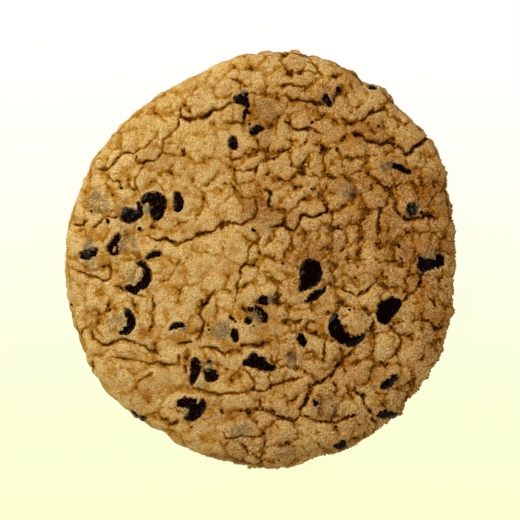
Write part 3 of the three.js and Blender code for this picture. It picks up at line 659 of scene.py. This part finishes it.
def chip_fields(x, y):
    """How near each point of the top is to a chip's outline, and how tinted its skin is, by chips under
    it and by patches of painted shade.
    """
    nearest = np.full(x.shape, FAR)
    for outline in CHIP_OUTLINES.values():
        low = outline.min(0) - CHIP_MARGIN
        high = outline.max(0) + CHIP_MARGIN
        near = (x > low[0]) & (x < high[0]) & (y > low[1]) & (y < high[1])
        distance = outline_distance(x[near], y[near], bared(outline))
        nearest[near] = np.minimum(nearest[near], distance)
    film_and_shade = np.maximum(0.4 * np.exp(-np.maximum(nearest, 0) / 0.5), buried_film_and_shade(x, y))
    broken = noise(x, y, 1.8, 41) + 0.6 * noise(x, y, 0.8, 48)
    return nearest, film_and_shade * (0.45 + 0.55 * ramp(broken, -0.7, 0.5))


def dough_bits(x, y):
    """How much the bits of dough over the chips cover each point, and how far they rise."""
    cover = np.zeros_like(x)
    rise = np.zeros_like(x)
    for start, end, width, height in DOUGH_BITS:
        away = segment_distance(x, y, start, end)[0]
        away = away + 0.22 * width ** 0.5 * (2 * noise(x, y, 1.8, 45) + 1.4 * noise(x, y, 0.9, 47))
        bit = 1 - ramp(away, width - 0.25, width + 0.25)
        cover = np.maximum(cover, bit)
        rise = np.maximum(rise, height * bit)
    return cover, rise


def patches(x, y, table):
    """How strongly the listed round patches cover each point."""
    cover = np.zeros_like(x)
    for patch_x, patch_y, radius, strength in table:
        away = np.hypot(x - patch_x, y - patch_y)
        cover = np.maximum(cover, strength * bell(away, radius))
    return cover


def blurred(values, rounds):
    """A square field averaged with its neighbours a number of times, turned over in between."""
    for _ in range(2 * rounds):
        padded = np.pad(values, [(1, 1), (0, 0)], "edge")
        values = (0.5 * values + 0.25 * (padded[:-2] + padded[2:])).T
    return values


def hollowness(relief):
    """How far each point of the top lies below its surroundings, close by and further out."""
    field = relief[:TOP_POINTS].reshape(TOP_CELLS + 1, TOP_CELLS + 1)
    around = field
    hollow = 0
    for rounds, weight in HOLLOW_SCALES:
        around = blurred(around, rounds)
        hollow = hollow + weight * (around - field)
    return np.concatenate([hollow.ravel(), np.zeros(len(relief) - TOP_POINTS)])


def dough_paint(x, y, relief, nearest, smooth, on_top, under):
    """How dark the dough is where it lies low, partly browning and partly painted shade, with a painted
    shadow ring round each chip; and how toasted it is.
    """
    # A painted shadow ring round each chip's edge, made lighter near the chips on the left.
    painted_chip_shade = 0.3 * bell(np.maximum(nearest, 0), 0.5) * ramp(noise(x, y, 2, 46), -0.6, 0.5)
    painted_chip_shade = painted_chip_shade - 0.12 * (1 - ramp(nearest, 0.5, 2.5)) * (1 - ramp(x, -20, 5))
    # Hollows painted darker: partly browning, partly painted shade, more of it towards the right.
    crevice = 0.49 + (0.75 + 0.9 * ramp(x, -30, 20)) * hollowness(relief) + painted_chip_shade - 0.22 * smooth
    toast = np.maximum(patches(x, y, TOASTED) * on_top, 0.6 * ramp(x, -35, 30))
    toast = np.maximum(toast * (1 - 0.6 * np.clip(smooth, 0, 1)), 0.7 * under)
    return np.clip(crevice, 0, 1), toast


def baked_dough():
    """The dough with its relief: points, faces, and what the material reads at each point."""
    points, faces, places = dough_skin()
    normals = point_normals(points, faces)
    x, y = points[:, 0], points[:, 1]
    on_top = ramp(normals[:, 2], -0.1, 0.15)
    under = ramp(-normals[:, 2], 0.5, 0.95)
    bed, slump, fissure_gap, fissure = fissure_relief(x, y)
    nearest, film_and_shade = chip_fields(x, y)
    calm = (1 - 0.5 * ramp(film_and_shade, 0.3, 1)) * (1 - 0.35 * np.clip(slump, 0, 1)) * (1 - 0.85 * under)
    calm = calm * (1 - 0.35 * ramp(rim_share(x, y), 0.92, 1) * ramp(x, -5, 25))
    crust, crease_gap, crease = crust_relief(places[:, 0], places[:, 1])
    smooth = patches(x, y, SMOOTH) * on_top
    covered, raised = dough_bits(x, y)
    relief = crust * calm * (1 - 0.5 * np.clip(smooth, 0, 1))
    relief -= on_top * (FISSURE_DEPTH * bed + SLUMP_DEPTH * slump)
    relief += on_top * CHIP_LIP * bell(nearest - 0.45, 0.4)
    relief += on_top * raised
    crevice, toast = dough_paint(x, y, relief, nearest, smooth, on_top, under)
    ragged = nearest + 0.3 * noise(x, y, 1.1, 43) + 0.15 * noise(x, y, 0.6, 44)
    bare = on_top * (1 - ramp(ragged, -0.16, 0.16)) * (1 - covered)
    points = points + normals * (relief * (1 - bare) - BARE_DROP * bare)[:, None]
    points[:, 2] = np.maximum(points[:, 2], 0)
    paint = np.stack([crevice, film_and_shade * on_top, toast, bare], 1)
    cracks = np.stack([fissure_gap, fissure * on_top, crease_gap, crease * calm], 1)
    return points, faces, paint, cracks, normals


# ---- Meshes ----

def new_object(name, data):
    made = bpy.data.objects.new(name, data)
    bpy.context.scene.collection.objects.link(made)
    return made


def new_piece(name, points, faces, material, smooth=True):
    mesh = bpy.data.meshes.new(name)
    mesh.from_pydata((np.asarray(points) * MM).tolist(), [], faces)
    mesh.validate()
    mesh.polygons.foreach_set("use_smooth", np.full(len(mesh.polygons), smooth))
    piece = new_object(name, mesh)
    mesh.materials.append(material)
    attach(piece, "root")
    return piece


def paint_points(piece, paint, name="relief"):
    layer = piece.data.color_attributes.new(name, "FLOAT_COLOR", "POINT")
    layer.data.foreach_set("color", paint.astype(np.float32).ravel())


def make_dough(material):
    points, faces, paint, cracks, normals = baked_dough()
    dough = new_piece("baked_dough", points, faces.tolist(), material)
    paint_points(dough, paint)
    paint_points(dough, cracks, "cracks")
    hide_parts("dough")
    return points[:TOP_POINTS], normals[:TOP_POINTS], paint[:TOP_POINTS]


def chip_points(outline):
    """Plan points of a chip: its grown outline, then a grid of points well inside it."""
    edge = grown(bared(outline), CHIP_GROWTH)
    low, high = edge.min(0), edge.max(0)
    x, y = np.meshgrid(np.arange(low[0], high[0], CHIP_SPACING),
                       np.arange(low[1], high[1], CHIP_SPACING))
    x, y = x.ravel(), y.ravel()
    inside = outline_distance(x, y, edge) < -0.5 * CHIP_SPACING
    return edge, np.stack([x[inside], y[inside]], 1)


def chip_heights(name, x, y, depth):
    """Heights of a chip's crown and floor at points that far inside its edge."""
    points = node_points(name)
    rise = (points[:, 2] - smooth_height(*points[:, :2].T)).max()
    seed = 500 + CHIP_NODES.index(name)
    crown = (rise - CHIP_SINK + CHIP_RIM_DROP) * (1 - np.exp(-depth / CROWN_REACH)) - CHIP_RIM_DROP
    dents = 0.16 * noise(x, y, 2.2, seed) + 0.09 * noise(x, y, 0.9, seed)
    surface = smooth_height(x, y)
    top = surface + (crown + dents * ramp(depth, 0, 0.6))
    bottom = np.maximum(surface - CHIP_DEPTH + 0.5 * np.exp(-depth / 0.5), CHIP_FLOOR)
    return np.maximum(top, bottom + 0.3), bottom


def slab_faces(triangles, count):
    """Faces of a top with that many points, of its copy below, and of the wall between them."""
    top = [tuple(face) for face in triangles]
    floor = [tuple(count + i for i in reversed(face)) for face in triangles]
    wall = [(b, a, a + count, b + count) for a, b in boundary(top)]
    return top + floor + wall


def make_chip(name, material):
    outline = CHIP_OUTLINES[name]
    edge, inner = chip_points(outline)
    plan = [Vector(point) for point in np.concatenate([edge, inner])]
    ring = [(i, (i + 1) % len(edge)) for i in range(len(edge))]
    flat, _, triangles, *_ = delaunay_2d_cdt(plan, ring, [], 1, 1e-5)
    x, y = np.array([point[:] for point in flat]).T
    depth = np.maximum(0, -outline_distance(x, y, edge))
    top, bottom = chip_heights(name, x, y, depth)
    points = np.concatenate([np.stack([x, y, top], 1), np.stack([x, y, bottom], 1)])
    faces = slab_faces(triangles, len(x))
    chip = new_piece(name.replace("chip_", "chocolate_"), points, faces, material)
    film_and_shade = buried_film_and_shade(points[:, 0], points[:, 1])
    inward = np.tile(-outline_distance(x, y, bared(outline)), 2)
    dusty = np.full(len(points), ramp(-outline[:, 0].mean(), -12, 8))
    paint_points(chip, np.stack([film_and_shade, inward, dusty, film_and_shade], 1))
    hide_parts(name)


def boundary(faces):
    """Directed edges that only one face uses."""
    edges = {(face[k], face[(k + 1) % len(face)]) for face in faces for k in range(len(face))}
    return [(a, b) for a, b in edges if (b, a) not in edges]


def icosahedron():
    """Corners and faces of an icosahedron of radius 1."""
    golden = (1 + 5 ** 0.5) / 2
    corners = np.array([(a, b * golden, 0) for a in (-1, 1) for b in (-1, 1)])
    corners = np.concatenate([corners, corners[:, [2, 0, 1]], corners[:, [1, 2, 0]]])
    corners /= np.linalg.norm(corners[0])
    touching = np.linalg.norm(corners[:, None] - corners[None], axis=2) < 1.1
    faces = [(i, j, k) for i in range(12) for j in range(i + 1, 12) for k in range(j + 1, 12)
             if touching[i, j] and touching[j, k] and touching[i, k]]
    faces = [face if np.linalg.det(corners[list(face)]) > 0 else face[::-1] for face in faces]
    return corners, np.array(faces)


def grains(centres, sizes, rng, squash=0.7):
    """Points and faces of small uneven lumps, one at each centre, joined as one mesh."""
    corners, faces = icosahedron()
    count = len(centres)
    uneven = rng.uniform(0.7, 1.3, (count, 12, 1))
    stretch = rng.uniform(0.7, 1.35, (count, 1, 3))
    turn = np.linalg.qr(rng.normal(size=(count, 3, 3)))[0]
    turn *= np.sign(np.linalg.det(turn))[:, None, None]
    shapes = corners[None] * uneven * stretch
    shapes = np.einsum("nij,nkj->nki", turn, shapes) * sizes[:, None, None]
    shapes[:, :, 2] *= squash
    points = (shapes + centres[:, None]).reshape(-1, 3)
    all_faces = (faces[None] + 12 * np.arange(count)[:, None, None]).reshape(-1, 3)
    return points, all_faces.tolist()


def make_crumbs(top, normals, paint, material):
    """Grains baked onto the crust."""
    rng = np.random.default_rng(71)
    bare = paint[:, 3]
    ragged = ramp(0.85 * top[:, 0] - 0.6 * top[:, 1], 0, 30)
    edge = ragged * ramp(rim_share(top[:, 0], top[:, 1]), 0.8, 0.95)
    steep = ramp(normals[:, 2], 0.75, 0.95) + 0.9 * ragged * ramp(normals[:, 2], -0.2, 0.3)
    weight = (1 - 0.97 * bare) * steep * (1 + ragged + 1.5 * edge) + 1e-9
    chosen = rng.choice(len(top), CRUMB_COUNT, replace=False, p=weight / weight.sum())
    sizes = CRUMB_SIZE * rng.lognormal(0, 0.4, CRUMB_COUNT)
    sizes = sizes * (1 + 0.3 * ragged[chosen] + 0.3 * edge[chosen])
    sizes = np.where(bare[chosen] > 0.5, 0.5 * sizes, sizes)
    centres = top[chosen] - normals[chosen] * (0.3 * sizes)[:, None]
    centres[:, :2] += rng.uniform(-0.2, 0.2, (CRUMB_COUNT, 2))
    points, faces = grains(centres, sizes, rng)
    crumbs = new_piece("crumbs", points, faces, material, smooth=False)
    shade = paint[chosen]
    shade[:, 0] += rng.uniform(-0.65, 0.1, CRUMB_COUNT)
    paint_points(crumbs, np.repeat(shade, 12, axis=0))


def make_flecks(top, material):
    """Small broken bits of chocolate caught in the dough."""
    rng = np.random.default_rng(72)
    centres = []
    for x, y, radius in FLECKS:
        nearest = np.argmin(np.hypot(top[:, 0] - x, top[:, 1] - y))
        centres.append((x, y, top[nearest, 2] + 0.35 * radius))
    sizes = np.array([radius for _, _, radius in FLECKS])
    points, faces = grains(np.array(centres), sizes, rng, squash=0.6)
    flecks = new_piece("chocolate_flecks", points, faces, material)
    paint_points(flecks, np.tile(FLECK_PAINT, (len(points), 1)))


# ---- Materials ----

def new_material(name):
    material = bpy.data.materials.new(name)
    material.use_nodes = True
    nodes = material.node_tree.nodes
    nodes.clear()
    output = nodes.new("ShaderNodeOutputMaterial")
    shader = nodes.new("ShaderNodeBsdfPrincipled")
    material.node_tree.links.new(shader.outputs["BSDF"], output.inputs["Surface"])
    return material, shader, Wiring(material)


class Wiring:
    """Short ways to add nodes to one material."""

    def __init__(self, material):
        self.nodes = material.node_tree.nodes
        self.link = material.node_tree.links.new
        self.place = self.nodes.new("ShaderNodeTexCoord").outputs["Object"]

    def read(self, name):
        """The four values that the mesh carries at each point under that name."""
        attribute = self.nodes.new("ShaderNodeAttribute")
        attribute.attribute_name = name
        split = self.nodes.new("ShaderNodeSeparateColor")
        self.link(attribute.outputs["Color"], split.inputs["Color"])
        return *(split.outputs[k] for k in ("Red", "Green", "Blue")), attribute.outputs["Alpha"]

    def speckle(self, size, detail=2, rough=0.5):
        node = self.nodes.new("ShaderNodeTexNoise")
        self.fill(node, {"Scale": 1 / (size * MM), "Detail": detail, "Roughness": rough})
        self.link(self.place, node.inputs["Vector"])
        return node.outputs["Fac"]

    def spread(self, value, low, high, to_low=0, to_high=1):
        node = self.nodes.new("ShaderNodeMapRange")
        node.interpolation_type = "SMOOTHSTEP"
        self.fill(node, {"Value": value, "From Min": low, "From Max": high})
        self.fill(node, {"To Min": to_low, "To Max": to_high})
        return node.outputs["Result"]

    def swing(self, speckle, reach):
        """A speckle as a change of up to that much either way."""
        return self.spread(speckle, 0.3, 0.7, -reach, reach)

    def blend(self, amount, first, second):
        node = self.nodes.new("ShaderNodeMix")
        node.data_type = "RGBA"
        self.fill(node, {"Factor": amount, 6: first, 7: second})
        return node.outputs[2]

    def maths(self, kind, first, second=0):
        node = self.nodes.new("ShaderNodeMath")
        node.operation = kind
        self.fill(node, {0: first, 1: second})
        return node.outputs[0]

    def plus(self, first, second):
        return self.maths("ADD", first, second)

    def times(self, first, second):
        return self.maths("MULTIPLY", first, second)

    def scaled(self, colour, amount):
        node = self.nodes.new("ShaderNodeVectorMath")
        node.operation = "SCALE"
        self.fill(node, {0: colour, "Scale": amount})
        return node.outputs[0]

    def bump(self, height, distance):
        node = self.nodes.new("ShaderNodeBump")
        self.fill(node, {"Height": height, "Distance": distance * MM})
        return node.outputs["Normal"]

    def fill(self, node, sockets):
        """Link what comes from another node, and set the rest."""
        for name, value in sockets.items():
            if isinstance(value, bpy.types.NodeSocket):
                self.link(value, node.inputs[name])
            elif isinstance(value, tuple):
                node.inputs[name].default_value = (*value, 1)
            else:
                node.inputs[name].default_value = value


def linear(red, green, blue):
    """A screen colour, 0 to 255, as linear light."""
    share = np.array([red, green, blue]) / 255
    bright = ((share + 0.055) / 1.055) ** 2.4
    return tuple(np.where(share > 0.04045, bright, share / 12.92).tolist())


CRUST_PALE = linear(219, 182, 112)
CRUST_ROSY = linear(212, 168, 100)
CRUST_TAN = linear(188, 132, 42)
CRUST_CREAM = linear(246, 214, 150)
CRUST_GOLD = linear(216, 164, 68)
CRUST_BROWN = linear(138, 80, 16)
CRUST_TOASTED = linear(156, 88, 14)
# The crevice colours darken the hollows and cracks: orange-brown for browning and painted shade,
# near-black for painted shadow.
CREVICE = linear(122, 68, 6)
CREVICE_SHADOW = linear(36, 13, 0)
PIT_BROWN = linear(88, 44, 14)
# Grey of chocolate under the skin, also used for the patches of painted shade.
FILM_AND_SHADE_GREY = linear(124, 108, 76)
CHOCOLATE = linear(7, 1, 0)
SMEARED_DOUGH = linear(140, 98, 50)
CHOCOLATE_DUST = linear(82, 57, 36)


def crust_colour(w, depth, toast, middling, fine):
    """Pale mottled tops, tan slopes, browner and toasted places, and dark crevices: browning and painted
    shade, with near-black painted shadow in the deepest.
    """
    broad = w.speckle(9, 3, 0.6)
    rosy = w.times(w.spread(broad, 0.4, 0.6, 0.1, 0.8), w.plus(toast, 0.5))
    tops = w.blend(rosy, CRUST_PALE, CRUST_ROSY)
    tops = w.blend(w.spread(w.speckle(4.5, 3, 0.6), 0.48, 0.64, 0, 0.5), tops, CRUST_GOLD)
    tops = w.blend(w.spread(middling, 0.52, 0.72, 0, 0.45), tops, CRUST_CREAM)
    tops = w.blend(w.spread(w.speckle(0.55, 2, 0.6), 0.52, 0.66, 0, 0.4), tops, CRUST_CREAM)
    colour = w.blend(w.spread(depth, 0.15, 0.7), tops, CRUST_TAN)
    colour = w.blend(w.spread(broad, 0.45, 0.7, 0, 0.3), colour, CRUST_BROWN)
    colour = w.blend(w.times(toast, w.spread(fine, 0.3, 0.6, 0.5, 1)), colour, CRUST_TOASTED)
    colour = w.blend(w.spread(depth, 0.62, 1.12, 0, 0.95), colour, CREVICE)
    return w.blend(w.spread(depth, 0.92, 1.12), colour, CREVICE_SHADOW)


def crack_lines(w, fine, grit):
    """The cracks along the fissures' beds and the creases, drawn as dark lines of painted shade, and the
    fissures' darkest parts, painted as shadow.
    """
    fissure_gap, fissure, crease_gap, crease = w.read("cracks")
    jitter = w.plus(w.swing(fine, 0.14), w.swing(grit, 0.07))
    fissure_split = w.maths("ABSOLUTE", w.plus(fissure_gap, jitter))
    crease_split = w.maths("ABSOLUTE", w.plus(crease_gap, jitter))
    wander = w.spread(w.speckle(1.6), 0.35, 0.6, 0.15, 1)
    line = w.times(w.spread(fissure_split, 0.05, 0.34, 1, 0), w.spread(fissure, 0.3, 1.4, 0, 0.8))
    thin = w.times(w.spread(crease_split, 0.04, 0.25, 1, 0), w.spread(crease, 0.15, 0.85, 0, 0.42))
    painted_fissure_shadow = w.times(w.spread(fissure_split, 0.05, 0.36, 1, 0), w.spread(fissure, 0.65, 1.5, 0, 0.95))
    return line, w.times(thin, wander), w.times(painted_fissure_shadow, wander)


def pit_marks(w, toast, middling):
    """Small brown pits, more of them where the crust is toasted."""
    pits = w.plus(w.speckle(0.5, 1), w.spread(toast, 0.1, 0.8, 0, 0.035))
    pits = w.times(w.spread(pits, 0.62, 0.7), w.spread(middling, 0.42, 0.6, 0.1, 0.9))
    return w.times(pits, w.spread(toast, 0.1, 0.7, 0.6, 1))


def chocolate_stains(w, colour, film_and_shade, fine):
    """The grey of a chip under the skin and of painted shade in hollows, with dark specks where a chip
    nearly shows.
    """
    veiled = w.plus(film_and_shade, w.swing(fine, 0.2))
    colour = w.blend(w.spread(veiled, 0.15, 0.85, 0, 0.8), colour, FILM_AND_SHADE_GREY)
    speck = w.plus(film_and_shade, w.spread(w.speckle(0.6), 0.4, 0.75, -0.9, 0.4))
    return w.blend(w.spread(speck, 0.85, 1.02, 0, 0.85), colour, CHOCOLATE)


def dough_material():
    material, shader, w = new_material("baked_dough")
    crevice, film_and_shade, toast, _ = w.read("relief")
    middling = w.speckle(2.2, 4, 0.65)
    fine = w.speckle(0.7, 3, 0.65)
    grit = w.speckle(0.32)
    depth = w.plus(crevice, w.plus(w.swing(middling, 0.15), w.swing(fine, 0.06)))
    line, thin, painted_fissure_shadow = crack_lines(w, fine, grit)
    pits = pit_marks(w, toast, middling)
    colour = crust_colour(w, depth, toast, middling, fine)
    # Painted shade along the cracks and creases, and painted shadow deep in the fissures.
    colour = w.blend(w.maths("MAXIMUM", line, thin), colour, CREVICE)
    colour = w.blend(painted_fissure_shadow, colour, CREVICE_SHADOW)
    colour = w.blend(pits, colour, PIT_BROWN)
    colour = chocolate_stains(w, colour, film_and_shade, fine)
    grain = w.spread(w.speckle(0.28, 3, 0.7), 0.34, 0.66, -1, 1)
    grain = w.times(grain, w.spread(toast, 0, 0.8, 0.33, 0.44))
    w.link(w.scaled(colour, w.plus(grain, 0.95)), shader.inputs["Base Color"])
    shader.inputs["Roughness"].default_value = 0.9
    shader.inputs["Specular IOR Level"].default_value = 0.03
    raised = w.plus(w.times(fine, 1.6), w.times(grit, 1.3))
    sunk = w.plus(w.times(pits, 0.5), w.plus(line, thin))
    w.link(w.bump(w.maths("SUBTRACT", raised, sunk), 0.5), shader.inputs["Normal"])
    return material


def chocolate_material():
    """Dark chocolate with dust, a grey veil and dough smeared over its edges."""
    material, shader, w = new_material("dark_chocolate")
    film_and_shade, inward, dusty, _ = w.read("relief")
    grit = w.speckle(0.4, 3, 0.6)
    fine = w.speckle(0.7, 3, 0.65)
    dust = w.times(w.spread(grit, 0.56, 0.7), w.spread(dusty, 0, 1, 0.05, 0.65))
    colour = w.blend(dust, CHOCOLATE, CHOCOLATE_DUST)
    veil = w.plus(w.times(film_and_shade, 0.36), fine)
    colour = w.blend(w.spread(veil, 0.72, 0.92, 0, 0.8), colour, FILM_AND_SHADE_GREY)
    smear = w.plus(inward, w.spread(fine, 0.3, 0.7, -0.25, 0.5))
    colour = w.blend(w.spread(smear, 0, 0.12, 0.9, 0), colour, SMEARED_DOUGH)
    w.link(colour, shader.inputs["Base Color"])
    shader.inputs["Roughness"].default_value = 0.6
    shader.inputs["Specular IOR Level"].default_value = 0
    shader.inputs["Coat Weight"].default_value = 0.09
    shader.inputs["Coat Roughness"].default_value = 0.17
    uneven = w.bump(grit, 0.06)
    w.link(uneven, shader.inputs["Normal"])
    w.link(uneven, shader.inputs["Coat Normal"])
    return material


# ---- Studio ----

def make_floor():
    mesh = bpy.data.meshes.new("floor")
    half = FLOOR_SIZE / 2
    corners = [(-half, -half), (half, -half), (half, half), (-half, half)]
    mesh.from_pydata([(*corner, FLOOR_HEIGHT) for corner in corners], [], [(0, 1, 2, 3)])
    floor = new_object("floor", mesh)
    material, shader, w = new_material("pale_floor")
    place = w.nodes.new("ShaderNodeSeparateXYZ")
    w.link(w.place, place.inputs["Vector"])
    near = w.spread(place.outputs["Y"], FADE_REACH, -FADE_REACH)
    w.link(w.blend(near, FLOOR_FAR, FLOOR_NEAR), shader.inputs["Emission Color"])
    shader.inputs["Emission Strength"].default_value = 0.98
    shader.inputs["Base Color"].default_value = (0.02, 0.02, 0.02, 1)
    shader.inputs["Roughness"].default_value = 1
    shader.inputs["Specular IOR Level"].default_value = 0
    mesh.materials.append(material)


def make_light(name, place, size, power, colour):
    light = bpy.data.lights.new(name, "AREA")
    light.energy = power
    light.size = size
    light.color = colour
    lamp = new_object(name, light)
    lamp.location = place
    lamp.rotation_euler = (-Vector(place)).to_track_quat("-Z", "Y").to_euler()


def make_studio():
    scene = bpy.context.scene
    camera_data = bpy.data.cameras.new("camera")
    camera_data.sensor_width = SENSOR_WIDTH
    camera_data.lens = SENSOR_WIDTH * (CAMERA_HEIGHT - WIDEST_HEIGHT * MM) / FRAME_WIDTH
    camera = new_object("camera", camera_data)
    camera.location = (0, CAMERA_Y, CAMERA_HEIGHT)
    scene.camera = camera
    for light in LIGHTS:
        make_light(*light)
    world = bpy.data.worlds.new("studio")
    world.use_nodes = True
    background = world.node_tree.nodes["Background"]
    background.inputs["Color"].default_value = (1, 1, 1, 1)
    background.inputs["Strength"].default_value = WORLD_LIGHT
    scene.world = world
    scene.view_settings.view_transform = "Standard"


# ---- The cookie ----

dough_look = dough_material()
chocolate_look = chocolate_material()
top_points, top_normals, skin_paint = make_dough(dough_look)
for chip_name in CHIP_NODES:
    make_chip(chip_name, chocolate_look)
make_crumbs(top_points, top_normals, skin_paint, dough_look)
make_flecks(top_points, chocolate_look)
make_floor()
make_studio()
